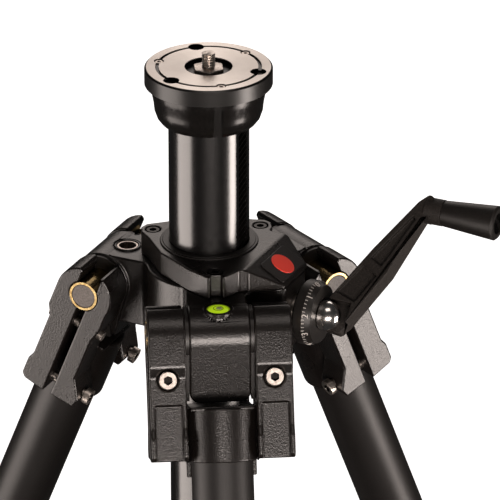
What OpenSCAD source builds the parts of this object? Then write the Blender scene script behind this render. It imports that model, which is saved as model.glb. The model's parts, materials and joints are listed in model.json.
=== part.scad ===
// Heavy-duty tripod with a geared centre column.
// Origin: centre of the top disc's face.  +Z points up along the column.
// The three legs stand at azimuths -90, 30 and 150 degrees, the crank at -30.

/* [Head] */
// Diameter of the camera plate disc
disc_d = 60; // [52:1:72]
// Thickness of the disc
disc_t = 8; // [6:0.5:10]
// Diameter of the mounting stud
stud_d = 6.35; // [6.35:3.175:9.525]
// Height of the stud above the disc face
stud_h = 7; // [5:0.5:10]
// Height of the collar under the disc
collar_h = 19.3; // [14:0.1:24]

/* [Column] */
// Diameter of the column tube
column_d = 38; // [34:0.5:42]
// Wall of the column tube
column_wall = 4; // [3:0.5:5]
// Length of the column tube below the disc
column_l = 330; // [280:5:420]
// Depth of the casting's top face below the disc face, at rest
head_h = 89; // [80:1:107]
// Width of the toothed rack
rack_w = 9; // [7:0.5:11]
// Radial running clearance of every turning or sliding fit
fit = 0.05; // [0.03:0.01:0.08]

/* [Casting] */
// Distance of each leg hinge from the column axis
hinge_r = 50; // [47:1:60]
// Depth of the hinge pins below the casting's top face
hinge_drop = 25; // [24:0.5:30]
// Width of each knuckle
knuckle_w = 28.6; // [24:0.2:30]
// Outer radius of each knuckle
knuckle_r = 14; // [12.5:0.25:16]
// Thickness of the upper casting
cap_t = 11.4; // [10:0.2:13]
// Height of the lower casting
body_h = 33.6; // [31:0.2:38]

/* [Crank] */
// Length of the crank arm, shaft to knob
crank_l = 60; // [50:1:70]
// Angle of the crank arm from upright, at rest
crank_angle = 40; // [0:5:60]
// Length of the knob
knob_l = 27; // [22:1:34]
// Largest diameter of the knob
knob_d = 16.5; // [14:0.5:20]
// Diameter of the friction ring
ring_d = 31; // [26:1:32]

/* [Legs] */
// Angle of each leg from upright, at rest
leg_angle = 22; // [15:1:26]
// Width of the leg yokes over both cheeks
yoke_w = 67; // [60:1:68]
// Diameter of the upper leg tube
upper_d = 29; // [28:0.5:30]
// Diameter of the middle leg tube
middle_d = 25; // [23:0.5:25.5]
// Diameter of the lower leg tube
lower_d = 21; // [18:0.5:21.5]
// Wall of the leg tubes
tube_wall = 1.5; // [1:0.1:1.6]
// Distance from the hinge to the end of the upper tube
upper_end = 560; // [380:10:700]
// Length that each lower section shows when pushed in
tail_l = 34; // [20:1:60]
// Length of each leg clamp
clamp_l = 52; // [44:1:60]
// Diameter of the feet
foot_d = 34; // [28:1:40]

/* [Hidden] */

$fn = 72;
eps = 0.01;
gap = 0.03;                     // assembly gap between pieces that don't move apart
LEGS = [-90, 30, 150];          // azimuths of the three legs
crank_az = -30;                 // azimuth of the crank shaft

// Colours
c_cast = "#3a3532";
c_black = "#141210";
c_plate = "#a89b94";
c_steel = "#d8cfc8";
c_brass = "#c9a45a";

// Heights
cap_z = -head_h;                // top face of the upper casting
joint_z = cap_z - cap_t;        // joint between the two castings
hinge_z = cap_z - hinge_drop;
body_z = joint_z - body_h;      // underside of the lower casting
tongue_z = hinge_z - knuckle_r - 15;

// Head
disc_r = disc_d / 2;
groove_r = disc_r * 0.8;        // circle of the groove and of the set screws
groove_w = 1.6;
recess_r = 11.2;
recess_t = 2.4;
set_r = 3.75;
set_screw_az = 99.5;
small_r = 1.9;
stud_hex = 13.5;
stud_hex_h = 2.2;
collar_r = disc_r - 3;
collar_low_r = column_d / 2 + 1.6;
collar_z = -disc_t - collar_h;
collar_notch_w = 4.4;

// Column
column_r = column_d / 2;
column_in = column_r - column_wall;
flat_m = column_r - 1.45;       // distance of the column's flat from its axis
guide_r = column_r + 3;
flange_r = guide_r + 1.4;
flange_t = 0.7;
cap_head_h = 3.2;               // heads of the screws in the upper casting
column_z = -column_l;

// Gears: module 1, 20 degree flanks, a three-start right-hand worm
mod_ = 1;
pitch = PI * mod_;
gear_n = 16;
gear_r = gear_n * mod_ / 2;
gear_w = 8;
worm_r = 5;
worm_starts = 3;
worm_lead = worm_starts * pitch;
helix = atan(worm_lead / (2 * PI * worm_r));
backlash = 0.3;                 // tooth thinning on each member
rack_m = flat_m - 0.05 - mod_;  // pitch line of the rack
gear_m = rack_m + gear_r;       // gear axis, distance from the column axis
gear_z = cap_z - 14;
shaft_z = gear_z - gear_r - worm_r;
rack_top = collar_z - 1.5;
rack_end = column_z + 12;
gear_shaft_r = 3;

// Crank, measured outward from the column axis
worm_m0 = column_r + 1;
worm_m1 = gear_m + 8.6;
box_m = 45;                     // end face of the gear housing
bearing_m = 34.6;
ring_m = box_m + 4.5;
ring_l = 9;
hub_m = ring_m + ring_l + 0.3;
shaft_r = 4.5;
bearing_r = 7;
knob_m = hub_m + 44.2;

// Legs, measured down the leg from the hinge
bush_r = 7.25;
pin_r = 6;
ear_in = knuckle_w / 2 + 1.9;
ear_out = yoke_w / 2;
cheek_w = ear_out - ear_in;
screw_w = (ear_in + ear_out) / 2;
upper_r = upper_d / 2;
middle_r = middle_d / 2;
lower_r = lower_d / 2;
shell_r = upper_r + 2.5;
clamp1_t = upper_end - clamp_l / 2;
middle_end = clamp1_t + clamp_l + tail_l + clamp_l / 2;
clamp2_t = middle_end - clamp_l / 2;
lower_end = clamp2_t + clamp_l + tail_l;
stroke = upper_end - 140;       // length of each telescopic section's travel
arm_w = knuckle_w - 1.2;        // arms, a little narrower than the knuckles
knuckle_reach = norm([knuckle_r, hinge_z - tongue_z]);
yoke_top = knuckle_reach + 1.6; // where the yoke's tube socket starts
tube_top = yoke_top + 3;
slot_out = 0.5;                 // faces of the split between the yoke halves
slot_in = -3.5;
outer_end = 59;                 // lower end of the outer yoke half
inner_end = 67;                 // lower end of the inner yoke half
top_screw_t = 20;               // the yoke's screws, down the leg
low_screw_t = 54;
pivot_t = 14;                   // lever pivot, from the clamp's upper end
lever_l = 40;
lug_in = 6.4;                   // half the space between a clamp's lugs
level_r = hinge_r + 2.5;        // place of the bubble level on the front knuckle
insert_r = hinge_r - 7;         // place of the threaded insert on the left knuckle
boss_r = 6.4;
boss_proud = 0.25;

function gear_inv(r) = let (b = gear_r * cos(20), a = acos(min(1, b / r)))
    (tan(a) - a * PI / 180) * 180 / PI;
// Half angle of a gear tooth at radius r
function tooth_half(r) = 90 / gear_n - backlash / gear_r * 90 / PI
    + gear_inv(gear_r) - gear_inv(r);

// Frame of a leg: X points out from the leg, Z runs down it, origin on the hinge
module in_leg(i)
    rotate([0, 0, LEGS[i]]) translate([hinge_r, 0, hinge_z])
        rotate([0, 180 - leg_angle, 0]) rotate([0, 0, 180]) children();

// Frame of the crank side: X points outward along the crank shaft's azimuth
module on_crank_side() rotate([0, 0, crank_az]) children();

// Frame of the crank at rest: X along the shaft, Y along the arm
module in_crank()
    on_crank_side() translate([0, 0, shaft_z]) rotate([90 - crank_angle, 0, 0]) children();

// Cylinder along X from x0 to x1
module bar_x(r, x0, x1, r2 = undef)
    translate([x0, 0, 0]) rotate([0, 90, 0])
        cylinder(h = x1 - x0, r1 = r, r2 = r2 == undef ? r : r2);

// Cylinder along Y from y0 to y1
module bar_y(r, y0, y1)
    translate([0, y1, 0]) rotate([90, 0, 0]) cylinder(h = y1 - y0, r = r);

module socket_screw(head_r, head_h, shank_r, shank_l)
    difference() {
        union() {
            cylinder(h = head_h, r = head_r);
            translate([0, 0, -shank_l]) cylinder(h = shank_l + eps, r = shank_r);
        }
        translate([0, 0, head_h * 0.4]) cylinder(h = head_h, r = head_r * 0.55, $fn = 6);
    }

// ---------------------------------------------------------------- head
module top_disc() color(c_plate)
    difference() {
        union() {
            translate([0, 0, -disc_t]) cylinder(h = disc_t - 0.8, r = disc_r);
            translate([0, 0, -0.8]) cylinder(h = 0.8, r1 = disc_r, r2 = disc_r - 0.8);
        }
        translate([0, 0, -0.9]) difference() {
            cylinder(h = 2, r = groove_r + groove_w / 2);
            translate([0, 0, -1]) cylinder(h = 4, r = groove_r - groove_w / 2);
        }
        translate([0, 0, -recess_t]) cylinder(h = recess_t + 1, r = recess_r);
        translate([0, 0, -disc_t - 1]) cylinder(h = disc_t + 2, r = stud_d / 2 + gap);
        for (a = [set_screw_az : 120 : 340]) rotate([0, 0, a]) translate([groove_r, 0, -disc_t - 1])
            cylinder(h = disc_t + 2, r = set_r);
        for (a = [set_screw_az - 60 : 120 : 280]) rotate([0, 0, a]) translate([groove_r, 0, -2])
            cylinder(h = 3, r = small_r + 0.5);
    }

module mounting_stud() color(c_steel)
    union() {
        translate([0, 0, -recess_t]) cylinder(h = stud_hex_h, r = stud_hex / sqrt(3), $fn = 6);
        translate([0, 0, -disc_t]) cylinder(h = disc_t + stud_h - 0.7, r = stud_d / 2);
        translate([0, 0, stud_h - 0.7]) cylinder(h = 0.7, r1 = stud_d / 2, r2 = stud_d / 2 - 0.7);
    }

module disc_screws() color(c_steel)
    for (a = [set_screw_az - 60 : 120 : 280]) rotate([0, 0, a]) translate([groove_r, 0, -2])
        difference() {
            cylinder(h = 1.6, r = small_r);
            translate([0, 0, 0.8]) cylinder(h = 2, r = 0.9, $fn = 6);
        }

module set_screws() color(c_black)
    for (a = [set_screw_az : 120 : 340]) rotate([0, 0, a]) translate([groove_r, 0, -disc_t + 0.2])
        difference() {
            cylinder(h = disc_t - 1.9, r = set_r - gap);
            translate([0, 0, disc_t - 4.4]) cylinder(h = 3, r = 1.7, $fn = 6);
        }

module column_collar() color(c_black)
    difference() {
        rotate_extrude() polygon([[column_r + gap, -disc_t - gap], [collar_r, -disc_t - gap],
            [collar_r, -disc_t - 3], [collar_r - 1.2, -disc_t - 9],
            for (a = [0 : 15 : 60]) [collar_low_r + (collar_r - 1.2 - collar_low_r) * cos(a * 1.5),
                -disc_t - 9 - (collar_h - 9) * sin(a * 1.5)],
            [column_r + gap, collar_z]]);
        // Clamping notch at the front
        rotate([0, 0, -84]) translate([collar_low_r + 1.5, -collar_notch_w / 2, collar_z - 1])
            cube([20, collar_notch_w, collar_h - 2]);
    }

// ---------------------------------------------------------------- column
module column_tube() color(c_black)
    difference() {
        translate([0, 0, column_z]) cylinder(h = -column_z - disc_t - gap, r = column_r, $fn = 120);
        translate([0, 0, column_z - 1]) cylinder(h = -column_z, r = column_in);
        on_crank_side() translate([flat_m, -column_r, column_z - 1])
            cube([column_r, column_d, rack_top + 4 - column_z]);
        on_crank_side() translate([column_in - 4, -rack_w / 2, rack_end])
            cube([column_r, rack_w, rack_top - rack_end]);
    }

module gear_rack() color(c_steel)
    on_crank_side() intersection() {
        translate([column_in - 2, -rack_w / 2 + gap, rack_end + gap])
            cube([column_r, rack_w - 2 * gap, rack_top - rack_end - 2 * gap]);
        union() {
            translate([column_in - 2, -rack_w, rack_end])
                cube([rack_m - 1.25 - column_in + 2, rack_w * 2, rack_top - rack_end]);
            for (i = [floor((rack_end - gear_z) / pitch) : ceil((rack_top - gear_z) / pitch)])
                translate([0, 0, gear_z + (i + 0.5) * pitch]) rotate([90 + helix, 0, 0])
                    linear_extrude(height = rack_w * 1.2, center = true) rack_tooth();
        }
    }

// Section square across a slanted tooth
module rack_tooth() {
    tip = (pitch / 2 - backlash) * cos(helix) / 2 - tan(20) * mod_;
    root = tip + 2.25 * tan(20);
    polygon([[rack_m - 1.25 - eps, -root], [rack_m + mod_, -tip], [rack_m + mod_, tip],
        [rack_m - 1.25 - eps, root]]);
}

module column_end_cap() color(c_black)
    difference() {
        union() {
            translate([0, 0, column_z - 5]) cylinder(h = 5 - gap, r = column_r - 0.5);
            translate([0, 0, column_z - 5]) cylinder(h = 15, r = column_in - gap);
        }
        translate([0, 0, column_z - 6]) cylinder(h = 4, r = 4);
    }

// ---------------------------------------------------------------- castings
// Outline of the upper casting, with its lobe over the gears
module cap_plan()
    union() {
        polygon([[-4, -41.5], [4, -41.5], [11.2, -35], [15.7, -35], [28, -12], [28.3, 5],
            [31.2, 12.5], [31, 18], [28.2, 21.2], [16.8, 23.7], [-16.8, 23.7], [-28.2, 21.2],
            [-31, 18], [-31.2, 12.5], [-28.3, 5], [-24, -12], [-12, -32]]);
        rotate([0, 0, crank_az]) polygon([[0, -22], [31, -22.5], [box_m, -13], [box_m, 13],
            [31, 22.5], [10, 22]]);
    }

module body_plan()
    offset(r = -5) offset(delta = 5) union() {
        circle(r = 30);
        for (a = LEGS) rotate([0, 0, a]) translate([0, -arm_w / 2])
            square([hinge_r, arm_w]);
        rotate([0, 0, crank_az]) polygon([[0, -21], [31, -20.5], [box_m - 1, -12.6],
            [box_m, -11], [box_m, 11], [box_m - 1, 12.6], [31, 20.5], [0, 21]]);
    }

// Space for the lift gear, the worm and their shafts
module gear_space()
    on_crank_side() {
        translate([column_r - 4, -gear_w / 2 - 0.6, gear_z - gear_r - 3])
            cube([gear_m + gear_r + 2 - column_r + 4, gear_w + 1.2, 2 * gear_r + 4.4]);
        translate([gear_m, 0, gear_z]) bar_y(gear_shaft_r + fit, -11.6, 11.6);
        translate([0, 0, shaft_z]) bar_x(worm_r + 1.6, column_r - 2, bearing_m + eps);
    }

module cap_screw_places()
    for (p = [[-90, 35], [30, 29.5], [150, 29.5]]) rotate([0, 0, p[0]])
        translate([p[1], 0, cap_z - cap_head_h - 0.2]) children();

module spider() color(c_cast)
    difference() {
        union() {
            translate([0, 0, body_z]) linear_extrude(body_h) body_plan();
            for (a = LEGS) rotate([0, 0, a]) knuckle();
            rotate([0, 0, LEGS[0]]) translate([level_r, 0, hinge_z])
                cylinder(h = knuckle_r + boss_proud, r = boss_r);
            rotate([0, 0, LEGS[2]]) translate([insert_r, 0, hinge_z])
                cylinder(h = knuckle_r + boss_proud, r = boss_r);
        }
        translate([0, 0, tongue_z]) cylinder(h = 100, r = guide_r + gap);
        for (a = LEGS) rotate([0, 0, a]) translate([hinge_r, 0, hinge_z])
            bar_y(bush_r + gap, -30, 30);
        gear_space();
        on_crank_side() translate([0, 0, shaft_z]) bar_x(bearing_r + gap, bearing_m, box_m + 5);
        cap_screw_places() translate([0, 0, -24]) cylinder(h = 30, r = 2 + gap);
        rotate([0, 0, LEGS[0]]) translate([level_r, 0, hinge_z + knuckle_r - 4.4])
            cylinder(h = 8, r = 5.35 + 0.1);
        rotate([0, 0, LEGS[2]]) translate([insert_r, 0, hinge_z + bush_r + 0.4])
            cylinder(h = 10, r = 5.15 + gap);
    }

// Barrel round the hinge pin with the tongue below it
module knuckle()
    intersection() {
        translate([hinge_r, 0, hinge_z]) rotate([90, 0, 0])
            linear_extrude(knuckle_w, center = true) hull() {
                circle(r = knuckle_r, $fn = 120);
                translate([-6, tongue_z - hinge_z]) square([knuckle_r + 6, 10]);
            }
        // Rounded lower corners
        translate([0, 0, hinge_z]) rotate([90, 0, 90]) linear_extrude(hinge_r * 2)
            offset(r = 5) square([knuckle_w - 9.9, 2 * (hinge_z - tongue_z) - 10], center = true);
    }

module spider_cap() color(c_cast)
    difference() {
        translate([0, 0, joint_z + gap]) linear_extrude(cap_t - gap) cap_plan();
        translate([0, 0, joint_z - 1]) cylinder(h = cap_t + 2, r = guide_r + gap);
        gear_space();
        // Roof over the gears, falling outward
        on_crank_side() translate([29, -40, cap_z]) rotate([0, 30, 0]) cube([60, 80, 30]);
        cap_screw_places() cylinder(h = 10, r = 3.6);
        cap_screw_places() translate([0, 0, -12]) cylinder(h = 20, r = 2 + gap);
        // Channel down the front vertex, in line with its screw
        translate([-2.8, -45, joint_z - 1]) cube([5.6, 6.2, cap_t + 2]);
    }

module cap_screws() color(c_steel)
    cap_screw_places() socket_screw(3.15, cap_head_h, 2, 20);

module column_guide() color(c_black)
    difference() {
        union() {
            translate([0, 0, body_z]) cylinder(h = cap_z - body_z + 1, r = guide_r);
            translate([0, 0, cap_z + gap])
                cylinder(h = flange_t, r1 = flange_r, r2 = flange_r - flange_t / 2);
        }
        translate([0, 0, body_z - 1]) cylinder(h = 60, r = column_r + fit, $fn = 120);
        on_crank_side() translate([column_in, -7, shaft_z - 7.4])
            cube([20, 14, gear_z + gear_r + 3 - shaft_z + 6]);
    }

module hinge_pins() color("#6f6864")
    for (a = LEGS) rotate([0, 0, a]) translate([hinge_r, 0, hinge_z])
        bar_y(pin_r, -ear_out - 0.1, ear_out + 0.1);

module hinge_bushes() color(c_brass)
    for (a = LEGS) rotate([0, 0, a]) translate([hinge_r, 0, hinge_z]) difference() {
        bar_y(bush_r, -ear_out - 0.2, ear_out + 0.2);
        bar_y(pin_r + gap, -ear_out - 1, ear_out + 1);
    }

module level_cup() color("#d8e080")
    rotate([0, 0, LEGS[0]]) translate([level_r, 0, hinge_z + knuckle_r - 4.3]) difference() {
        cylinder(h = 4, r = 5.35);
        translate([0, 0, 0.8]) cylinder(h = 5, r = 4.7);
    }

module level_vial() color("#c8e632")
    rotate([0, 0, LEGS[0]]) translate([level_r, 0, hinge_z + knuckle_r - 3.45]) union() {
        cylinder(h = 3, r = 4.65);
        translate([0, 0, 3 - eps]) cylinder(h = 0.7, r1 = 4.65, r2 = 3.2);
    }

module accessory_insert() color(c_steel)
    rotate([0, 0, LEGS[2]]) translate([insert_r, 0, hinge_z + bush_r + 0.45]) difference() {
        cylinder(h = 6.2, r = 5.15);
        translate([0, 0, -1]) cylinder(h = 9, r = 3.97);
    }

// Places a piece on the sloping roof, X down the slope
module on_roof() on_crank_side() translate([29, 0, cap_z]) rotate([0, 30, 0]) children();

module badge() color(c_black)
    on_roof() translate([10.4, 0, gap]) linear_extrude(0.5) difference() {
        offset(r = 1.8) square([13.7 - 3.6, 25 - 3.6], center = true);
        circle(r = 6.05);
    }

module badge_disc() color("#e02018")
    on_roof() translate([10.4, 0, gap]) cylinder(h = 0.7, r = 6);

// ---------------------------------------------------------------- crank drive
module crank_bearing() color(c_steel)
    on_crank_side() translate([0, 0, shaft_z]) difference() {
        bar_x(bearing_r, bearing_m + gap, ring_m + ring_l - 2.5);
        bar_x(shaft_r + fit, bearing_m - 1, ring_m + ring_l);
    }

// Once round the worm, thread by thread: half widths along the shaft become angles
function worm_ring() = let (
        tip = (pitch / 2 - backlash) / 2 - tan(20) * mod_,
        foot = tip + 2.25 * tan(20),
        root = worm_r - 1.25,
        mid = worm_r - 0.125,
        steps = [[-foot, root], [-(tip + foot) / 2, mid], [-tip, worm_r + mod_],
            [tip, worm_r + mod_], [(tip + foot) / 2, mid], [foot, root]])
    [for (s = [0 : worm_starts - 1], p = steps)
        let (a = (s / worm_starts + p[0] / worm_lead) * 360) p[1] * [cos(a), sin(a)]];

module crank_shaft() color(c_steel)
    in_crank() union() {
        bar_x(shaft_r, worm_m1 - eps, hub_m + 5);
        bar_x(worm_r - 1.3, worm_m0, worm_m1);
        worm();
    }

// Thread whose groove lies under the lift gear's lowest tooth at rest
module worm() {
    length = worm_m1 - worm_m0;
    turn = 360 * length / worm_lead;
    // Angle of the section at the near end, so that a groove is on top at the gear
    start = -360 * (gear_m + pitch / 2 - worm_m0) / worm_lead;
    rotate([crank_angle - 90, 0, 0]) translate([worm_m0, 0, 0]) rotate([0, 90, 0])
        rotate([0, 0, 180 + start])
            linear_extrude(height = length, twist = -turn, slices = 64) polygon(worm_ring());
}

module lift_gear() color(c_steel)
    on_crank_side() translate([gear_m, 0, gear_z]) union() {
        bar_y(gear_shaft_r, -11.4, 11.4);
        rotate([-90, 0, 0]) helical_gear();
    }

module helical_gear() {
    turn = gear_w * tan(helix) / gear_r * 180 / PI;
    radii = [gear_r - 1.25, gear_r * cos(20) + 0.02, gear_r, gear_r + 0.5, gear_r + 1];
    translate([0, 0, -gear_w / 2]) rotate([0, 0, 180 - turn / 2])
        linear_extrude(height = gear_w, twist = -turn, slices = 8)
            polygon([for (i = [0 : gear_n - 1]) each [
                for (r = radii) let (a = i * 360 / gear_n - tooth_half(r)) r * [cos(a), sin(a)],
                for (k = [4 : -1 : 0]) let (r = radii[k], a = i * 360 / gear_n + tooth_half(r))
                    r * [cos(a), sin(a)]]]);
}

module friction_ring() color(c_black)
    on_crank_side() translate([0, 0, shaft_z]) difference() {
        union() {
            bar_x(ring_d / 2 - 0.8, ring_m, ring_m + 1, ring_d / 2);
            bar_x(ring_d / 2, ring_m + 1 - eps, ring_m + 5.2);
            bar_x(ring_d / 2, ring_m + 5.2 - eps, ring_m + ring_l, ring_d / 2 - 1.6);
        }
        bar_x(bearing_r + fit, ring_m - 1, ring_m + ring_l + 1);
    }

module crank_hub() color(c_steel)
    in_crank() difference() {
        union() {
            bar_x(7, hub_m, hub_m + 2.5);
            translate([hub_m + 2.5, 0, 0]) sphere(r = 7);
        }
        bar_x(shaft_r + gap, hub_m - 8, hub_m + 5.1);
        translate([hub_m - 8, -8, -8]) cube([8, 16, 16]);
        translate([hub_m - 1, -8, -12 + gap]) cube([20, 16, 9]);
    }

// Side outline of the arm: x along the shaft, y along the arm
module arm_outline()
    offset(r = 2) offset(delta = -2) polygon([
        [hub_m, -6], [hub_m + 9, -7], [hub_m + 12.6, -2], [hub_m + 26, crank_l * 0.42],
        [knob_m - 9, crank_l * 0.93 - 1], [knob_m - 6, crank_l - 6.3], [knob_m - 5.5, crank_l + 6.3],
        [knob_m - 8, crank_l + 6.6], [knob_m - 12.6, crank_l + 2], [hub_m + 16, crank_l * 0.6],
        [hub_m, 6]]);

module crank_arm() color("#2e2a27")
    in_crank() difference() {
        union() {
            translate([0, 0, -9.5]) linear_extrude(10.5) arm_outline();
            translate([0, crank_l, -4]) bar_x(6.3, knob_m - 9, knob_m - 0.3);
        }
        bar_x(shaft_r + gap, hub_m - 1, hub_m + 5 + gap);
        // Room for the hub's dome
        translate([hub_m - 5, -9, -3]) cube([17.5, 17, 20]);
        // Pocket faces
        translate([0, 0, -0.8]) linear_extrude(4) arm_pockets();
        translate([0, crank_l, -4]) bar_x(3 + gap, knob_m - 10, knob_m);
    }

module arm_pockets() {
    polygon([[hub_m + 4, 12], [hub_m + 13, 27], [hub_m + 21.5, 23], [hub_m + 14, 8.5]]);
    polygon([[hub_m + 16, 31], [hub_m + 31, crank_l - 5], [hub_m + 32.5, crank_l - 6.5],
        [hub_m + 22.5, 28]]);
}

module knob_spindle() color(c_steel)
    in_crank() translate([0, crank_l, -4]) union() {
        bar_x(3, knob_m - 9.5, knob_m + knob_l - 3);
        bar_x(4.6, knob_m + knob_l - 3, knob_m + knob_l - 1.2);
    }

module crank_knob() color(c_black)
    in_crank() translate([0, crank_l, -4]) difference() {
        union() {
            bar_x(knob_d / 2 - 2.1, knob_m, knob_m + 6, knob_d / 2 - 1.6);
            bar_x(knob_d / 2 - 1.6, knob_m + 6 - eps, knob_m + knob_l - 1, knob_d / 2);
            bar_x(knob_d / 2, knob_m + knob_l - 1 - eps, knob_m + knob_l, knob_d / 2 - 1);
        }
        bar_x(3 + fit, knob_m - 1, knob_m + knob_l);
        bar_x(5.2, knob_m + knob_l - 3.4, knob_m + knob_l + 1);
    }

// ---------------------------------------------------------------- legs
// Both cheeks of a yoke half, from an outline in the plane of the leg
module cheeks()
    for (y = [-ear_out, ear_in]) translate([0, y + cheek_w, 0]) rotate([90, 0, 0])
        linear_extrude(cheek_w) children();

module screw_places(t) for (s = [-1, 1]) translate([0, s * screw_w, t]) children();

module tube_socket(t1)
    translate([0, 0, yoke_top]) cylinder(h = t1 - yoke_top, r = shell_r);

module tube_room()
    translate([0, 0, yoke_top - 1]) cylinder(h = inner_end, r = upper_r + gap);

module yoke_outer(i) color(c_cast)
    in_leg(i) difference() {
        union() {
            cheeks() polygon([[4.9, 0], [4.9, -11.6], for (a = [-62 : 12 : -2])
                14.6 * [cos(a), sin(a)], [14.6, 14], [12, 19], [12, 43], [13.6, 47],
                [13.6, outer_end - 3], [11.5, outer_end - 1], [slot_out, outer_end], [slot_out, 0]]);
            intersection() {
                tube_socket(outer_end);
                translate([slot_out, -30, 0]) cube([40, 60, 100]);
            }
        }
        bar_y(bush_r + fit, -40, 40);
        tube_room();
        // Face pockets below the upper screws
        for (s = [-1, 1]) translate([11, s * screw_w, 50]) rotate([0, 90, 0])
            linear_extrude(9) square([36, cheek_w - 4.5], center = true);
        screw_places(top_screw_t) rotate([0, 90, 0]) cylinder(h = 30, r = 2.5 + gap, center = true);
        screw_places(top_screw_t) translate([11, 0, 0]) rotate([0, 90, 0]) cylinder(h = 9, r = 5);
        screw_places(low_screw_t) rotate([0, 90, 0]) cylinder(h = 21, r = 2.5 + gap, center = true);
    }

module yoke_inner(i) color(c_cast)
    in_leg(i) difference() {
        union() {
            cheeks() polygon([[-5.1, 0], [-5.1, -13.2], for (a = [-112 : -12 : -196])
                14.4 * [cos(a), sin(a)], [-14, 12], [-12, 20], [-11.8, 44], [-17.4, 54],
                [-16, outer_end - 0.6], [slot_in, outer_end - 0.6], [slot_in, 0]]);
            intersection() {
                tube_socket(inner_end);
                translate([slot_in - 40, -30, 0]) cube([40, 60, 100]);
            }
        }
        bar_y(bush_r + fit, -40, 40);
        tube_room();
        screw_places(top_screw_t) rotate([0, -90, 0]) cylinder(h = 40, r = 2.5 + gap, center = true);
        screw_places(low_screw_t) rotate([0, -90, 0]) cylinder(h = 60, r = 2.5 + gap, center = true);
    }

module yoke_screws(i) color(c_steel)
    in_leg(i) {
        screw_places(top_screw_t) translate([11.05, 0, 0]) rotate([0, 90, 0])
            socket_screw(4, 3, 2.5, 25.5);
        screw_places(low_screw_t) translate([-17.5, 0, 0]) rotate([0, -90, 0])
            socket_screw(4, 3, 2.5, 26);
    }

// Tube along the leg from t0 to t1
module leg_tube(i, r, t0, t1) color(c_black)
    in_leg(i) difference() {
        translate([0, 0, t0]) cylinder(h = t1 - t0, r = r);
        translate([0, 0, t0 - 1]) cylinder(h = t1 - t0 + 2, r = r - tube_wall);
    }

module upper_tube(i) leg_tube(i, upper_r, tube_top, upper_end);
module middle_tube(i) leg_tube(i, middle_r, upper_end - stroke - 60, middle_end);
module lower_tube(i) leg_tube(i, lower_r, middle_end - stroke - 60, lower_end);

// Distance of a lever's pivot from the tube axis
function pivot_n(r) = r + 10.4;

// Clamp at t0, fixed to a tube of radius r0 and sliding on one of radius r1
module clamp_body(i, t0, r0, r1) color(c_cast)
    in_leg(i) union() {
        difference() {
            union() {
                translate([0, 0, t0]) cylinder(h = 3, r1 = r0 + 3.4, r2 = r0 + 5);
                translate([0, 0, t0 + 3 - eps]) cylinder(h = clamp_l - 6 + 2 * eps, r = r0 + 5);
                translate([0, 0, t0 + clamp_l - 3]) cylinder(h = 3, r1 = r0 + 5, r2 = r0 + 3);
                for (s = [-1, 1]) translate([0, s * (lug_in + 2.2), t0 + pivot_t])
                    rotate([0, 90, 0]) translate([-5.5, -2.2, 0]) cube([11, 4.4, pivot_n(r0) + 4]);
            }
            translate([0, 0, t0 - 1]) cylinder(h = clamp_l / 2 + 1, r = r0 + gap);
            translate([0, 0, t0]) cylinder(h = clamp_l + 1, r = r1 + 0.08);
        }
        translate([pivot_n(r0), 0, t0 + pivot_t]) bar_y(2.5, -lug_in - 5.2, lug_in + 5.2);
    }

// Quick lever of the clamp at t0, lying along it when shut
module clamp_lever(i, t0, r0) color(c_black)
    in_leg(i) translate([pivot_n(r0), 0, t0 + pivot_t]) difference() {
        union() {
            bar_y(4.6, -lug_in + 0.4, lug_in - 0.4);
            translate([-1.4, -lug_in + 0.4, 0]) cube([5.4, 2 * lug_in - 0.8, lever_l]);
            translate([-1.4, -8.5, 8]) cube([5.4, 17, lever_l - 8]);
        }
        bar_y(2.5 + fit, -20, 20);
    }

module upper_clamp(i) clamp_body(i, clamp1_t, upper_r, middle_r);
module upper_lever(i) clamp_lever(i, clamp1_t, upper_r);
module lower_clamp(i) clamp_body(i, clamp2_t, middle_r, lower_r);
module lower_lever(i) clamp_lever(i, clamp2_t, middle_r);

module foot(i) color(c_black)
    in_leg(i) translate([0, 0, lower_end - 24]) difference() {
        rotate_extrude() polygon([[0, 0], [lower_r + 2.4, 0], [lower_r + 3, 8],
            for (a = [0 : 15 : 90]) [foot_d / 2 - 6 + 6 * cos(a), 27 + 12 * sin(a)], [0, 39]]);
        translate([0, 0, -1]) cylinder(h = 25, r = lower_r + gap);
    }

top_disc();
mounting_stud();
disc_screws();
set_screws();
column_collar();
column_tube();
gear_rack();
column_end_cap();
spider();
spider_cap();
cap_screws();
column_guide();
hinge_pins();
hinge_bushes();
level_cup();
level_vial();
accessory_insert();
badge();
badge_disc();
crank_bearing();
crank_shaft();
lift_gear();
friction_ring();
crank_hub();
crank_arm();
knob_spindle();
crank_knob();
yoke_outer(0);  // yoke_outer_1
yoke_inner(0);  // yoke_inner_1
yoke_screws(0);  // yoke_screws_1
upper_tube(0);  // upper_tube_1
upper_clamp(0);  // upper_clamp_1
upper_lever(0);  // upper_lever_1
middle_tube(0);  // middle_tube_1
lower_clamp(0);  // lower_clamp_1
lower_lever(0);  // lower_lever_1
lower_tube(0);  // lower_tube_1
foot(0);  // foot_1
yoke_outer(1);  // yoke_outer_2
yoke_inner(1);  // yoke_inner_2
yoke_screws(1);  // yoke_screws_2
upper_tube(1);  // upper_tube_2
upper_clamp(1);  // upper_clamp_2
upper_lever(1);  // upper_lever_2
middle_tube(1);  // middle_tube_2
lower_clamp(1);  // lower_clamp_2
lower_lever(1);  // lower_lever_2
lower_tube(1);  // lower_tube_2
foot(1);  // foot_2
yoke_outer(2);  // yoke_outer_3
yoke_inner(2);  // yoke_inner_3
yoke_screws(2);  // yoke_screws_3
upper_tube(2);  // upper_tube_3
upper_clamp(2);  // upper_clamp_3
upper_lever(2);  // upper_lever_3
middle_tube(2);  // middle_tube_3
lower_clamp(2);  // lower_clamp_3
lower_lever(2);  // lower_lever_3
lower_tube(2);  // lower_tube_3
foot(2);  // foot_3
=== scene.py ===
"""Looks for a heavy-duty tripod with a geared centre column.

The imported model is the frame. Each operator finishes one group of pieces.
"""

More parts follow.
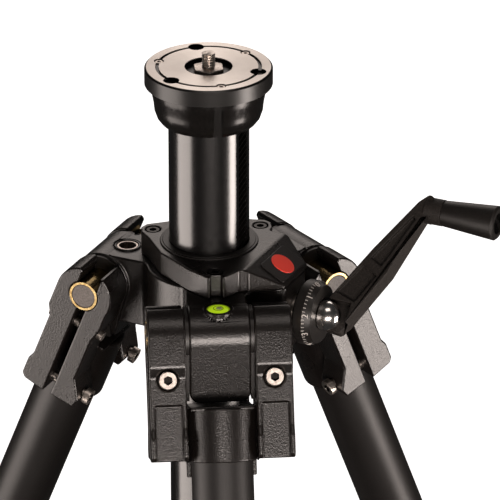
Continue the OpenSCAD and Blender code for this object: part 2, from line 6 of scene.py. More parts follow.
import json
from math import cos, pi, radians, sin

import bmesh
import bpy
from mathutils import Matrix, Vector


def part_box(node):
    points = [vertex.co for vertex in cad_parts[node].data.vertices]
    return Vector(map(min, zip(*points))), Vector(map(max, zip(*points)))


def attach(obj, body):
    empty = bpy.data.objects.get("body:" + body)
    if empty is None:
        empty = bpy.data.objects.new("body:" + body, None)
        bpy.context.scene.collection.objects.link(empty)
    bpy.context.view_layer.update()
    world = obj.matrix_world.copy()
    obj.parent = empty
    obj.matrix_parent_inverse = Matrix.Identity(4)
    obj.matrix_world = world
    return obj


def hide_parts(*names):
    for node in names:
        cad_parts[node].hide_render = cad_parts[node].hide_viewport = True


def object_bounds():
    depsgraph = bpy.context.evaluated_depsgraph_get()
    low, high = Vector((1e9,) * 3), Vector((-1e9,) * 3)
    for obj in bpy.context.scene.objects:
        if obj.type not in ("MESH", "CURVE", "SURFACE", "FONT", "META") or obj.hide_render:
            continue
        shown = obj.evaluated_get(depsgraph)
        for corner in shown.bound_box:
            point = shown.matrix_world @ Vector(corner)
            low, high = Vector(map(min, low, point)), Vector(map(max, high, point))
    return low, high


bl_info = {
    "name": "Geared Column Tripod",
    "version": (1, 0, 0),
    "blender": (4, 5, 0),
    "location": "3D View > Sidebar > Tripod",
    "description": "Finishes, edge rounding and small parts of a geared column tripod",
    "category": "Object",
}

MM = 0.001
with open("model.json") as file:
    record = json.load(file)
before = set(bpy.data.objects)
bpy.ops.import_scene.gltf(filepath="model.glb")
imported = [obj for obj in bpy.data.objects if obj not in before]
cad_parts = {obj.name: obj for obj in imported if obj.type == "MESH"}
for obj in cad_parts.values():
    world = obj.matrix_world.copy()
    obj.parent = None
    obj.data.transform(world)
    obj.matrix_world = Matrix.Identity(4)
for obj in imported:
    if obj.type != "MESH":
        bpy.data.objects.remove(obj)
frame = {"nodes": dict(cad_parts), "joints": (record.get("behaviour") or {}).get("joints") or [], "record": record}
CAD_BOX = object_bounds()
NODES = frame["nodes"]
BODY_OF = {node: body for body, nodes in frame["record"]["behaviour"]["bodies"].items() for node in nodes}
JOINTS = {joint["name"]: joint for joint in frame["joints"]}
LEGS = (1, 2, 3)
LEG_TILT = radians(22)          # how far a leg leans out at rest
EDGE_ANGLE = radians(16)        # edges sharper than this are rounded
GRAINS = 0.6                    # noise scale that gives one grain per metre
CLOUD = 30                      # a broad patch of gloss, in grains

# Friction plate, in the hinge's own directions: along the pin, outward and up
PLATE_R = 13.2 * MM
PLATE_T = 1.6 * MM
PLATE_OFFSET = 15.2 * MM
SKIRT_SIZE = (PLATE_T, 18.4 * MM, 24 * MM)
SKIRT_PLACE = (0, 4 * MM, -16 * MM)
FLOOR_SIZE = (29.6 * MM, 29 * MM, 1.4 * MM)
FLOOR_REACH = 33.9 * MM         # from the hinge along the leg
SOCKET_R = 2.15 * MM            # hex socket of a yoke bolt
SOCKET_DEPTH = 2.6 * MM
SOCKET_LIP = 0.1 * MM

# Head plate
BARE_R = 29.1 * MM              # the bare face ends at the black rim
BORE_R = 11.1 * MM
TURNING_FEED = 0.4 * MM
STUD_R = 3.175 * MM
STUD_HEX = 13.5 * MM            # across flats
THREAD_DEPTH = 0.58             # of the pitch

# Friction dial
DIAL_FIGURES = 10
TICKS_PER_FIGURE = 5
DIAL_SLOPE = radians(23)
FIGURE_SIZE = 4.2 * MM
TICK_SIZE = (1.4 * MM, 0.3 * MM, 0.2 * MM)

# Studio, in metres; a soft box is its name, place, width, height and power in watts
VIEW_TARGET = (19.2 * MM, -1.7 * MM, -94.2 * MM)
LAMP_TARGET = (0.0, 0.0, -0.12)
VIEW_END = 200
FLOOR_WIDTH = 140
WALL_R, WALL_HEIGHT, WALL_RISE = 68, 80, 36
SOFT_BOXES = (
    ("left", (-2.28, -0.42, -0.85), 1.95, 1.5, 46.0),
    ("right", (2.2, -0.95, -0.95), 0.85, 1.3, 46.0),
    ("front", (0.1, -2.4, -0.22), 1.3, 0.6, 50.0),
    ("top", (0.15, -0.9, 2.2), 1.3, 0.9, 7.0),
    ("back", (0.2, 2.4, 1.1), 2.4, 1.2, 15.0),
)


# ------------------------------------------------------------------ sizes and colours
class TripodSizes(bpy.types.PropertyGroup):
    cast_edge: bpy.props.FloatProperty(
        name="Casting edge", description="Rounding of the cast edges", default=1.1 * MM, unit="LENGTH")
    turned_edge: bpy.props.FloatProperty(
        name="Turned edge", description="Break on turned edges", default=0.25 * MM, unit="LENGTH")
    moulded_edge: bpy.props.FloatProperty(
        name="Moulded edge", description="Rounding of moulded edges", default=0.6 * MM, unit="LENGTH")
    thread_pitch: bpy.props.FloatProperty(
        name="Thread pitch", description="Pitch of the mounting stud", default=1.27 * MM, unit="LENGTH")
    view_angle: bpy.props.FloatProperty(
        name="View azimuth", description="Side that the camera looks from", default=radians(-5.0),
        subtype="ANGLE")
    view_height: bpy.props.FloatProperty(
        name="View elevation", description="Camera angle above the horizon", default=radians(24.9),
        subtype="ANGLE")
    view_distance: bpy.props.FloatProperty(
        name="View distance", description="Camera distance from the target", default=2.5, unit="LENGTH")
    view_lens: bpy.props.FloatProperty(
        name="Lens", description="Focal length in millimetres", default=381.0)


class TripodColours(bpy.types.PropertyGroup):
    casting: bpy.props.StringProperty(
        name="Casting", description="Powder coat of the castings", default="#1b1715")
    anodised: bpy.props.StringProperty(
        name="Anodised", description="Black anodised tubes", default="#0a0909")
    plate: bpy.props.StringProperty(
        name="Plate", description="Turned aluminium of the head plate", default="#e2dcd6")
    zinc: bpy.props.StringProperty(
        name="Zinc", description="Zinc-plated screws", default="#d9d0c8")
    brass: bpy.props.StringProperty(
        name="Brass", description="Turned brass bushes", default="#a89468")
    level: bpy.props.StringProperty(
        name="Level fluid", description="Fluid of the bubble level", default="#c2e81e")
    badge: bpy.props.StringProperty(
        name="Badge", description="Red enamel disc", default="#ff4a3c")


def sizes():
    return bpy.context.scene.tripod_sizes


def colours():
    return bpy.context.scene.tripod_colours


# ------------------------------------------------------------------ materials
def linear(text):
    """Linear RGBA from an sRGB hex value."""
    values = [int(text[i:i + 2], 16) / 255 for i in (1, 3, 5)]
    return [v / 12.92 if v <= 0.04045 else ((v + 0.055) / 1.055) ** 2.4 for v in values] + [1.0]


def add(tree, kind, settings=(), **links):
    """Adds a node; settings are its properties, sockets or ramp stops, links feed its sockets.

    A link called n0, n1 and so on feeds the socket of that number.
    """
    made = tree.nodes.new(kind)
    for key, value in dict(settings).items():
        if key == "stops":
            for stop, (position, colour) in zip(made.color_ramp.elements, value):
                stop.position, stop.color = position, colour
        elif isinstance(key, str) and hasattr(made, key):
            setattr(made, key, value)
        else:
            made.inputs[key].default_value = value
    for key, source in links.items():
        numbered = key[0] == "n" and key[1:].isdigit()
        tree.links.new(source, made.inputs[int(key[1:]) if numbered else key])
    return made


def new_material(name, settings):
    """A material with a plain shader; returns it, its tree and its shader."""
    material = bpy.data.materials.get(name)
    if material:
        return material, None, None
    material = bpy.data.materials.new(name)
    material.use_nodes = True
    tree = material.node_tree
    shader = tree.nodes["Principled BSDF"]
    for key, value in settings.items():
        shader.inputs[key].default_value = value
    return material, tree, shader


def feed(tree, shader, sources):
    """Links each source to the shader's socket of that name."""
    for socket, source in sources.items():
        tree.links.new(source, shader.inputs[socket])


def mottled(name, base, darker, roughness, grain, strength, distance, **settings):
    """A skin whose colour and bump follow a fine grain, and whose gloss follows broad patches."""
    material, tree, shader = new_material(name, settings)
    if tree:
        where = add(tree, "ShaderNodeTexCoord").outputs["Object"]
        fine = add(tree, "ShaderNodeTexNoise", {"Scale": GRAINS / grain, "Detail": 3.0}, Vector=where)
        broad = add(tree, "ShaderNodeTexNoise", {"Scale": GRAINS / (grain * CLOUD)}, Vector=where)
        tint = add(tree, "ShaderNodeValToRGB", {"stops": ((0.35, linear(darker)), (0.65, linear(base)))},
                   Fac=fine.outputs["Fac"])
        gloss = add(tree, "ShaderNodeMapRange", {"To Min": roughness[0], "To Max": roughness[1]},
                    Value=broad.outputs["Fac"])
        relief = add(tree, "ShaderNodeBump", {"Strength": strength, "Distance": distance},
                     Height=fine.outputs["Fac"])
        feed(tree, shader, {"Base Color": tint.outputs["Color"], "Roughness": gloss.outputs["Result"],
                            "Normal": relief.outputs["Normal"]})
    return material


def powder_coat():
    # Textured black powder coat on cast aluminium: a sandy skin that breaks the highlight.
    # The grit is drawn at 0.45 mm, about twice its real size, so that it shows.
    return mottled("textured_powder_coat", colours().casting, "#0f0d0c", (0.25, 0.31), 0.45 * MM,
                   0.9, 0.14 * MM, **{"Specular IOR Level": 0.6})


def crank_paint():
    # Matt black paint on the cast crank: finer grit and much less gloss than the powder coat.
    return mottled("matt_black_crank_paint", "#2c2825", "#1c1917", (0.55, 0.65), 0.4 * MM,
                   0.9, 0.3 * MM, **{"Specular IOR Level": 0.3})


def anodised():
    # Hard black anodising on drawn tube: deep black, with a narrow sheen.
    material, tree, shader = new_material("black_anodised_aluminium", {"Specular IOR Level": 1.0})
    if tree:
        where = add(tree, "ShaderNodeTexCoord").outputs["Object"]
        fine = add(tree, "ShaderNodeTexNoise", {"Scale": GRAINS / (1.2 * MM)}, Vector=where).outputs["Fac"]
        tint = add(tree, "ShaderNodeValToRGB",
                   {"stops": ((0.0, linear("#070606")), (1.0, linear(colours().anodised)))}, Fac=fine)
        gloss = add(tree, "ShaderNodeMapRange", {"To Min": 0.19, "To Max": 0.24}, Value=fine)
        relief = add(tree, "ShaderNodeBump", {"Strength": 0.06, "Distance": 0.05 * MM}, Height=fine)
        feed(tree, shader, {"Base Color": tint.outputs["Color"], "Roughness": gloss.outputs["Result"],
                            "Normal": relief.outputs["Normal"]})
    return material


def leg_anodising():
    # Blasted and anodised leg tube: the same black, with a wide soft sheen.
    return mottled("blasted_black_anodising", "#171413", "#110f0e", (0.42, 0.48), 0.5 * MM,
                   0.25, 0.04 * MM, **{"Specular IOR Level": 0.5})


def satin_black():
    # Satin black enamel on turned aluminium.
    return mottled("satin_black_enamel", "#141211", "#0d0c0b", (0.2, 0.26), 0.7 * MM, 0.1, 0.05 * MM,
                   **{"Specular IOR Level": 0.35})


def moulded_nylon():
    # Glass-filled nylon from a spark-eroded mould: even, fine and slightly greasy.
    return mottled("moulded_black_nylon", "#1d1a18", "#141210", (0.4, 0.47), 0.5 * MM, 0.2, 0.06 * MM)


def moulded_rubber():
    # Moulded rubber: matt, a little grey where it has rubbed.
    return mottled("moulded_rubber", "#211f1d", "#151312", (0.72, 0.82), 0.9 * MM, 0.3, 0.1 * MM)


def gear_steel():
    # Black oxide on cut steel: dark metal with bright worn tips.
    return mottled("black_oxide_gear_steel", "#2a2725", "#161412", (0.3, 0.4), 0.6 * MM, 0.1,
                   0.04 * MM, Metallic=0.85)


def zinc_plate():
    # Bright zinc plate on steel screws: pale, slightly cloudy metal.
    return mottled("bright_zinc_plate", colours().zinc, "#b5aca4", (0.3, 0.42), 0.8 * MM, 0.06,
                   0.03 * MM, Metallic=1.0)


def chrome():
    # Polished chrome over steel, with faint wipe marks.
    return mottled("polished_chrome", "#f6f3f0", "#e6e2de", (0.16, 0.24), 2.0 * MM, 0.02,
                   0.02 * MM, Metallic=1.0)


def turned_brass():
    # Turned brass, a little dulled by handling.
    return mottled("turned_brass", colours().brass, "#86704a", (0.2, 0.32), 0.9 * MM, 0.06,
                   0.03 * MM, Metallic=1.0)


def pin_coat():
    # Grey powder coat on the pin faces, as sandy as the castings but paler.
    return mottled("grey_powder_coat", "#6d6661", "#544e4a", (0.45, 0.52), 0.5 * MM, 0.35, 0.1 * MM)


def head_plate_finish():
    # Lathe-faced aluminium inside a black anodised rim. The rings of tool marks are drawn
    # 0.4 mm apart, about twice as coarse as the real feed, so that they show.
    material, tree, shader = new_material("faced_aluminium_plate", {"Anisotropic": 0.5})
    if tree:
        where = add(tree, "ShaderNodeTexCoord").outputs["Object"]
        parts = add(tree, "ShaderNodeSeparateXYZ", Vector=where)
        flat = add(tree, "ShaderNodeCombineXYZ", X=parts.outputs["X"], Y=parts.outputs["Y"])
        radius = add(tree, "ShaderNodeVectorMath", {"operation": "LENGTH"},
                     n0=flat.outputs["Vector"]).outputs["Value"]
        inside = add(tree, "ShaderNodeMath", {"operation": "LESS_THAN", 1: BARE_R}, n0=radius)
        outside = add(tree, "ShaderNodeMath", {"operation": "GREATER_THAN", 1: BORE_R}, n0=radius)
        top = add(tree, "ShaderNodeMath", {"operation": "GREATER_THAN", 1: -0.5 * MM},
                  n0=parts.outputs["Z"])
        ring = add(tree, "ShaderNodeMath", {"operation": "MULTIPLY"},
                   n0=inside.outputs[0], n1=outside.outputs[0])
        bare = add(tree, "ShaderNodeMath", {"operation": "MULTIPLY"},
                   n0=ring.outputs[0], n1=top.outputs[0]).outputs[0]
        lines = add(tree, "ShaderNodeMath", {"operation": "MULTIPLY", 1: 2 * pi / TURNING_FEED}, n0=radius)
        marks = add(tree, "ShaderNodeMath", {"operation": "SINE"}, n0=lines.outputs[0])
        cloud = add(tree, "ShaderNodeTexNoise", {"Scale": GRAINS / (6 * MM)}, Vector=where)
        metal = add(tree, "ShaderNodeValToRGB",
                    {"stops": ((0.0, linear("#c9c2bb")), (1.0, linear(colours().plate)))},
                    Fac=cloud.outputs["Fac"])
        tint = add(tree, "ShaderNodeMix", {"data_type": "RGBA", 6: linear("#0e0d0c")},
                   n0=bare, n7=metal.outputs["Color"])
        gloss = add(tree, "ShaderNodeMapRange", {"To Min": 0.3, "To Max": 0.38}, Value=bare)
        relief = add(tree, "ShaderNodeBump", {"Strength": 0.12, "Distance": 0.02 * MM},
                     Height=marks.outputs[0])
        feed(tree, shader, {"Base Color": tint.outputs[2], "Metallic": bare,
                            "Roughness": gloss.outputs["Result"], "Normal": relief.outputs["Normal"]})
    return material


def plain(name, colour, roughness, grain=0.8 * MM, **settings):
    """A smooth skin of one colour with a very slight grain."""
    return mottled(name, colour, colour, (roughness, roughness + 0.05), grain, 0.04, 0.03 * MM,
                   **settings)


def level_fluid():
    # Yellow-green spirit under a clear lens, with a painted glow: it is given a faint emission of its own colour,
    # though it is no lamp.
    return plain("spirit_level_fluid", colours().level, 0.08, **{
        "Emission Color": linear(colours().level), "Emission Strength": 0.6, "Coat Weight": 1.0,
        "Coat Roughness": 0.03})


def acrylic_cup():
    # Tinted acrylic cup with a painted glow: a faint emission in its wall stands in for the fluid's light.
    return plain("tinted_acrylic_cup", "#8fa626", 0.15, **{
        "Emission Color": linear("#a9c422"), "Emission Strength": 0.3, "Specular IOR Level": 0.1})


def red_enamel():
    # Hard red enamel under a thin gloss.
    return plain("red_enamel", colours().badge, 0.3, **{"Coat Weight": 0.3})


def white_print():
    # Pad-printed white figures, half matt.
    return plain("white_pad_print", "#c9c4bf", 0.5)


def black_label():
    # Black vinyl label, satin.
    return plain("satin_black_label", "#181514", 0.34)


# ------------------------------------------------------------------ modelling helpers
def only(piece):
    """Leaves one piece selected and active."""
    bpy.ops.object.select_all(action="DESELECT")
    piece.select_set(True)
    bpy.context.view_layer.objects.active = piece


def apply_all(piece):
    """Applies a piece's modifiers in order."""
    only(piece)
    for modifier in list(piece.modifiers):
        bpy.ops.object.modifier_apply(modifier=modifier.name)


def finish_piece(piece, name, body, material, angle=35.0):
    """Names a piece, puts its place in its mesh, gives it a finish and a body."""
    only(piece)
    bpy.ops.object.transform_apply(location=True, rotation=True, scale=True)
    if angle:
        bpy.ops.object.shade_smooth_by_angle(angle=radians(angle))
    piece.name = name
    piece.data.materials.clear()
    piece.data.materials.append(material)
    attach(piece, body)
    return piece


def coat(node, material):
    """Gives a CAD node its finish."""
    piece = NODES[node]
    if not piece.material_slots:
        piece.data.materials.append(material)
    for slot in piece.material_slots:
        slot.material = material


def rounded(node, name, width, material, segments=3, clamp=True):
    """A welded copy of a CAD node with rounded edges, which stands for it.

    Without clamp the rounding keeps its width where small faces meet it.
    """
    piece = bpy.data.objects.new(name, NODES[node].data.copy())
    bpy.context.scene.collection.objects.link(piece)
    only(piece)
    bpy.ops.mesh.customdata_custom_splitnormals_clear()
    bpy.ops.object.mode_set(mode="EDIT")
    bpy.ops.mesh.select_all(action="SELECT")
    bpy.ops.mesh.remove_doubles(threshold=3e-6)
    bpy.ops.mesh.dissolve_limited(angle_limit=radians(0.5))
    bpy.ops.mesh.normals_make_consistent(inside=False)
    bpy.ops.object.mode_set(mode="OBJECT")
    bpy.ops.object.shade_smooth_by_angle(angle=EDGE_ANGLE)
    bevel = piece.modifiers.new("edges", "BEVEL")
    bevel.width = width
    bevel.segments = segments
    bevel.limit_method = "ANGLE"
    bevel.angle_limit = EDGE_ANGLE
    bevel.miter_outer = "MITER_ARC"
    bevel.use_clamp_overlap = clamp
    piece.modifiers.new("flats", "WEIGHTED_NORMAL").keep_sharp = True
    apply_all(piece)
    finish_piece(piece, name, BODY_OF[node], material, None)
    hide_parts(node)
    return piece


def loose_parts(mesh):
    """The separate parts of a mesh, each a list of its vertices in their order."""
    left = set(mesh.verts)
    for first in mesh.verts:
        if first not in left:
            continue
        left.remove(first)
        part, queue = {first}, [first]
        while queue:
            near = {edge.other_vert(vert) for vert in queue for edge in vert.link_edges} & left
            left -= near
            part |= near
            queue = list(near)
        yield sorted(part, key=lambda vert: vert.index)


def paint_socket_shade(piece, axis):
    """Painted shade inside the hex sockets of the bolts that lie along an axis: the socket faces get the dark
    gear-steel finish.
    """
    piece.data.materials.append(gear_steel())
    mesh = bmesh.new()
    mesh.from_mesh(piece.data)
    for bolt in loose_parts(mesh):
        middle = sum((vert.co for vert in bolt), Vector()) / len(bolt)
        along = {vert: (vert.co - middle).dot(axis) for vert in bolt}
        widest = max(bolt, key=lambda vert: (vert.co - middle - along[vert] * axis).length)
        head = 1 if along[widest] > 0 else -1
        top = max(head * height for height in along.values())
        for face in {face for vert in bolt for face in vert.link_faces}:
            spot = face.calc_center_median() - middle
            depth = top - head * spot.dot(axis)
            off_axis = (spot - spot.dot(axis) * axis).length
            if SOCKET_LIP < depth < SOCKET_DEPTH and off_axis < SOCKET_R:
                face.material_index = 1
    mesh.to_mesh(piece.data)
    mesh.free()


def reach(node, axis, origin):
    """How far a node reaches along an axis, from an origin."""
    return max((vert.co - origin).dot(axis) for vert in NODES[node].data.vertices)


def shaft_frame():
    """Frame of the crank shaft: X outward along it, Z up, at the column axis."""
    axis = Vector(JOINTS["crank_turn"]["axis"]).normalized()
    up = Vector((0, 0, 1))
    side = up.cross(axis)
    origin = Vector((0, 0, JOINTS["crank_turn"]["pos_m"][2]))
    rows = [list(row) for row in zip(axis, side, up)]
    return Matrix.Translation(origin) @ Matrix(rows).to_4x4()


# ------------------------------------------------------------------ operators
class TRIPOD_OT_castings(bpy.types.Operator):
    """Castings and leg clamps, with rounded edges and powder coat"""
    bl_idname = "tripod.castings"
    bl_label = "Castings"

    def execute(self, context):
        skin = powder_coat()
        edge = sizes().cast_edge
        rounded("spider", "spider_casting", edge * 0.8, skin, clamp=False)
        rounded("spider_cap", "cap_casting", edge * 0.7, skin, clamp=False)
        for leg in LEGS:
            for half in ("outer", "inner"):
                rounded(f"yoke_{half}_{leg}", f"yoke_{half}_casting_{leg}", edge * 0.7, skin, clamp=False)
            for level in ("upper", "lower"):
                rounded(f"{level}_clamp_{leg}", f"{level}_clamp_casting_{leg}", edge * 0.7, skin)
        return {"FINISHED"}


class TRIPOD_OT_head(bpy.types.Operator):
    """Head plate, collar and their screws"""
    bl_idname = "tripod.head"
    bl_label = "Head"

    def execute(self, context):
        edge = sizes().turned_edge
        rounded("top_disc", "head_plate", edge, head_plate_finish(), 2)
        rounded("column_collar", "head_collar", edge * 4, satin_black())
        rounded("disc_screws", "head_lock_screws", edge * 0.5, zinc_plate(), 2)
        rounded("set_screws", "head_set_screws", edge * 0.5, gear_steel(), 2)
        self.stud()
        return {"FINISHED"}

    def stud(self):
        """A cut thread on the stud, swept from one turn of its profile."""
        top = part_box("mounting_stud")[1].z
        pitch = sizes().thread_pitch
        root = STUD_R - THREAD_DEPTH * pitch
        bpy.ops.object.select_all(action="DESELECT")
        bpy.ops.mesh.primitive_plane_add(size=pitch)
        thread = bpy.context.object
        mesh = thread.data
        bpy.ops.object.mode_set(mode="EDIT")
        bpy.ops.mesh.delete(type="ONLY_FACE")
        bpy.ops.object.mode_set(mode="OBJECT")
        # The plane's four corners become the thread's root and crest; the edge along the root goes.
        profile = [(root, -0.5), (root, 0.5), (STUD_R, -0.06), (STUD_R, 0.06)]
        order = sorted(range(4), key=lambda i: (mesh.vertices[i].co.x, mesh.vertices[i].co.y))
        for index, (radius, height) in zip(order, profile):
            mesh.vertices[index].co = (radius, 0, height * pitch)
        for item in (*mesh.vertices, *mesh.edges):
            item.select = False
        for edge in mesh.edges:
            edge.select = set(edge.vertices) == {order[0], order[1]}
        bpy.ops.object.mode_set(mode="EDIT")
        bpy.ops.mesh.select_mode(type="EDGE")
        bpy.ops.mesh.delete(type="EDGE")
        bpy.ops.object.mode_set(mode="OBJECT")
        thread.location.z = -0.4 * MM
        bpy.ops.object.transform_apply(location=True, rotation=True, scale=True)
        screw = thread.modifiers.new("turns", "SCREW")
        screw.axis = "Z"
        screw.screw_offset = pitch
        screw.iterations = int((top + 0.8 * MM) / pitch) + 2
        screw.steps = screw.render_steps = 40
        screw.use_merge_vertices = True
        screw.merge_threshold = 2e-6
        apply_all(thread)
        bpy.ops.object.mode_set(mode="EDIT")
        for height, clear_outer in ((top, True), (-0.3 * MM, False)):
            bpy.ops.mesh.select_all(action="SELECT")
            bpy.ops.mesh.bisect(plane_co=(0, 0, height), plane_no=(0, 0, 1), use_fill=True,
                                clear_outer=clear_outer, clear_inner=not clear_outer)
        bpy.ops.mesh.select_all(action="SELECT")
        bpy.ops.mesh.normals_make_consistent(inside=False)
        bpy.ops.object.mode_set(mode="OBJECT")
        finish_piece(thread, "mounting_thread", "column", zinc_plate(), 50)
        bpy.ops.object.select_all(action="DESELECT")
        bpy.ops.mesh.primitive_cylinder_add(vertices=6, radius=STUD_HEX / 3 ** 0.5, depth=2.2 * MM,
                                            location=(0, 0, -1.3 * MM))
        base = bpy.context.object
        bevel = base.modifiers.new("edges", "BEVEL")
        bevel.width = 0.5 * MM
        bevel.segments = 3
        apply_all(base)
        finish_piece(base, "mounting_hex", "column", zinc_plate())
        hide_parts("mounting_stud")


class TRIPOD_OT_column(bpy.types.Operator):
    """Column tube, rack, guide and end cap"""
    bl_idname = "tripod.column"
    bl_label = "Column"

    def execute(self, context):
        coat("column_tube", anodised())
        coat("gear_rack", gear_steel())
        coat("lift_gear", gear_steel())
        coat("crank_shaft", gear_steel())
        rounded("column_end_cap", "column_plug", sizes().moulded_edge, moulded_nylon())
        rounded("column_guide", "column_bush", sizes().turned_edge, moulded_nylon(), 2)
        return {"FINISHED"}


class TRIPOD_OT_hinges(bpy.types.Operator):
    """Hinge pins, brass bushes and screws"""
    bl_idname = "tripod.hinges"
    bl_label = "Hinges"

    def execute(self, context):
        edge = sizes().turned_edge
        rounded("hinge_pins", "pins", edge * 2, pin_coat())
        rounded("hinge_bushes", "brass_bushes", edge * 0.3, turned_brass(), 2)
        rounded("cap_screws", "cap_bolts", edge, gear_steel(), 2)
        rounded("accessory_insert", "thread_insert", edge, zinc_plate(), 2)
        for leg in LEGS:
            self.friction_plates(leg)
            self.yoke_floor(leg)
            bolts = rounded(f"yoke_screws_{leg}", f"yoke_bolts_{leg}", edge * 0.7, zinc_plate(), 2)
            # painted shade in the hex sockets of these bolts
            paint_socket_shade(bolts, self.hinge(leg)[2])
        return {"FINISHED"}

    def hinge(self, leg):
        """A hinge's place, its pin's direction, and the direction square to the leg, outward."""
        joint = JOINTS[f"leg_spread_{leg}"]
        place, pin = Vector(joint["pos_m"]), Vector(joint["axis"]).normalized()
        outward = Vector((place.x, place.y, 0)).normalized()
        return place, pin, outward * cos(LEG_TILT) + Vector((0, 0, sin(LEG_TILT)))

    def yoke_floor(self, leg):
        """Cast floor between the cheeks, just above the leg tube's socket."""
        place, pin, face = self.hinge(leg)
        along = face.cross(pin)
        if along.z > 0:
            along.negate()
        turn = Matrix([list(row) for row in zip(pin, face, pin.cross(face))]).to_4x4()
        bpy.ops.object.select_all(action="DESELECT")
        bpy.ops.mesh.primitive_cube_add(size=1)
        floor = bpy.context.object
        floor.scale = FLOOR_SIZE
        bpy.ops.object.transform_apply(location=False, rotation=False, scale=True)
        bevel = floor.modifiers.new("edges", "BEVEL")
        bevel.width = 0.4 * MM
        bevel.segments = 2
        apply_all(floor)
        floor.matrix_world = Matrix.Translation(place + along * FLOOR_REACH) @ turn
        finish_piece(floor, f"yoke_floor_{leg}", BODY_OF[f"yoke_outer_{leg}"], powder_coat())

    def friction_plates(self, leg):
        """Black plates that fill the play between a knuckle and its yoke."""
        place, pin, _ = self.hinge(leg)
        outward = Vector((place.x, place.y, 0)).normalized()
        turn = Matrix([list(row) for row in zip(pin, outward, Vector((0, 0, 1)))]).to_4x4()
        for side, word in ((-1, "left"), (1, "right")):
            bpy.ops.object.select_all(action="DESELECT")
            bpy.ops.mesh.primitive_cylinder_add(
                vertices=64, radius=PLATE_R, depth=PLATE_T, rotation=(0, radians(90), 0))
            plate = bpy.context.object
            bpy.ops.object.transform_apply(location=False, rotation=True, scale=False)
            bpy.ops.object.select_all(action="DESELECT")
            bpy.ops.mesh.primitive_cube_add(size=1, location=SKIRT_PLACE)
            skirt = bpy.context.object
            skirt.scale = SKIRT_SIZE
            bpy.ops.object.transform_apply(location=True, rotation=False, scale=True)
            union = plate.modifiers.new("skirt", "BOOLEAN")
            union.operation = "UNION"
            union.object = skirt
            bevel = plate.modifiers.new("edges", "BEVEL")
            bevel.width = 0.3 * MM
            bevel.segments = 2
            apply_all(plate)
            bpy.data.objects.remove(skirt)
            plate.matrix_world = Matrix.Translation(place + pin * side * PLATE_OFFSET) @ turn
            finish_piece(plate, f"friction_plate_{leg}_{word}", "root", moulded_nylon())


class TRIPOD_OT_level(bpy.types.Operator):
    """Bubble level: lens, ring and bubble"""
    bl_idname = "tripod.level"
    bl_label = "Bubble level"

    def execute(self, context):
        rounded("level_cup", "level_housing", 0.1 * MM, acrylic_cup(), 2)
        rounded("level_vial", "level_spirit", 0.5 * MM, level_fluid())
        low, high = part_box("level_vial")
        centre = (low + high) / 2
        bpy.ops.object.select_all(action="DESELECT")
        bpy.ops.mesh.primitive_torus_add(
            location=(centre.x, centre.y, high.z - 0.02 * MM), major_radius=2.3 * MM,
            minor_radius=0.16 * MM, major_segments=48, minor_segments=8)
        finish_piece(bpy.context.object, "level_target_ring", "root",
                     plain("dark_green_print", "#3c4a12", 0.4))
        bpy.ops.object.select_all(action="DESELECT")
        bpy.ops.mesh.primitive_uv_sphere_add(
            segments=32, ring_count=16, radius=1.5 * MM, location=(centre.x + 0.4 * MM, centre.y, high.z))
        bubble = bpy.context.object
        bubble.scale = (1, 1, 0.22)
        finish_piece(bubble, "level_bubble", "root", plain("air_bubble", "#eef7b0", 0.05))
        return {"FINISHED"}


class TRIPOD_OT_badge(bpy.types.Operator):
    """Plain red badge on the gear housing's roof"""
    bl_idname = "tripod.badge"
    bl_label = "Badge"

    def execute(self, context):
        rounded("badge", "badge_label", 0.15 * MM, black_label(), 2)
        rounded("badge_disc", "badge_enamel", 0.2 * MM, red_enamel(), 2)
        return {"FINISHED"}


class TRIPOD_OT_crank(bpy.types.Operator):
    """Crank arm, hub, knob and numbered friction ring"""
    bl_idname = "tripod.crank"
    bl_label = "Crank"

    def execute(self, context):
        edge = sizes().moulded_edge
        rounded("crank_arm", "crank_lever", edge * 0.7, crank_paint(), clamp=False)
        rounded("crank_hub", "crank_dome", edge * 0.5, chrome())
        rounded("knob_spindle", "knob_pin", edge * 0.5, gear_steel(), 2)
        rounded("crank_knob", "knob_grip", edge * 0.8, moulded_nylon())
        rounded("friction_ring", "friction_dial", edge * 0.6, moulded_nylon())
        rounded("crank_bearing", "crank_bush", edge * 0.4, zinc_plate(), 2)
        self.dial()
        return {"FINISHED"}

    def dial(self):
        """Figures and ticks round the ring's sloping band."""
        shaft = shaft_frame()
        axis = shaft.to_3x3().col[0]
        high = reach("friction_ring", axis, shaft.translation)
        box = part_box("friction_ring")
        radius = (box[1].z - box[0].z) / 2
        slope = Matrix.Rotation(DIAL_SLOPE, 4, "Y")
        marks = []
        for index in range(DIAL_FIGURES * TICKS_PER_FIGURE):
            turn = shaft @ Matrix.Rotation(2 * pi * index / (DIAL_FIGURES * TICKS_PER_FIGURE), 4, "X")
            bpy.ops.object.select_all(action="DESELECT")
            if index % TICKS_PER_FIGURE == 0:
                mark = self.figure(str(index // TICKS_PER_FIGURE))
                mark.matrix_world = (turn @ Matrix.Translation((high - 1.0 * MM, 0, radius - 1.0 * MM))
                                     @ slope @ Matrix.Rotation(radians(90), 4, "Z"))
            else:
                bpy.ops.mesh.primitive_cube_add(size=1)
                mark = bpy.context.object
                mark.scale = TICK_SIZE
                bpy.ops.object.transform_apply(location=False, rotation=False, scale=True)
                mark.matrix_world = (turn @ Matrix.Translation((high - 3.2 * MM, 0, radius - 0.3 * MM))
                                     @ slope)
            marks.append(mark)
        only(marks[0])
        for mark in marks:
            mark.select_set(True)
        bpy.ops.object.join()
        finish_piece(bpy.context.object, "dial_figures", "friction_ring", white_print())

    def figure(self, text):
        """One raised figure, as a mesh."""
        bpy.ops.object.text_add()
        figure = bpy.context.object
        figure.data.body = text
        figure.data.size = FIGURE_SIZE
        figure.data.align_x = "CENTER"
        figure.data.extrude = 0.08 * MM
        bpy.ops.object.convert(target="MESH")
        return figure


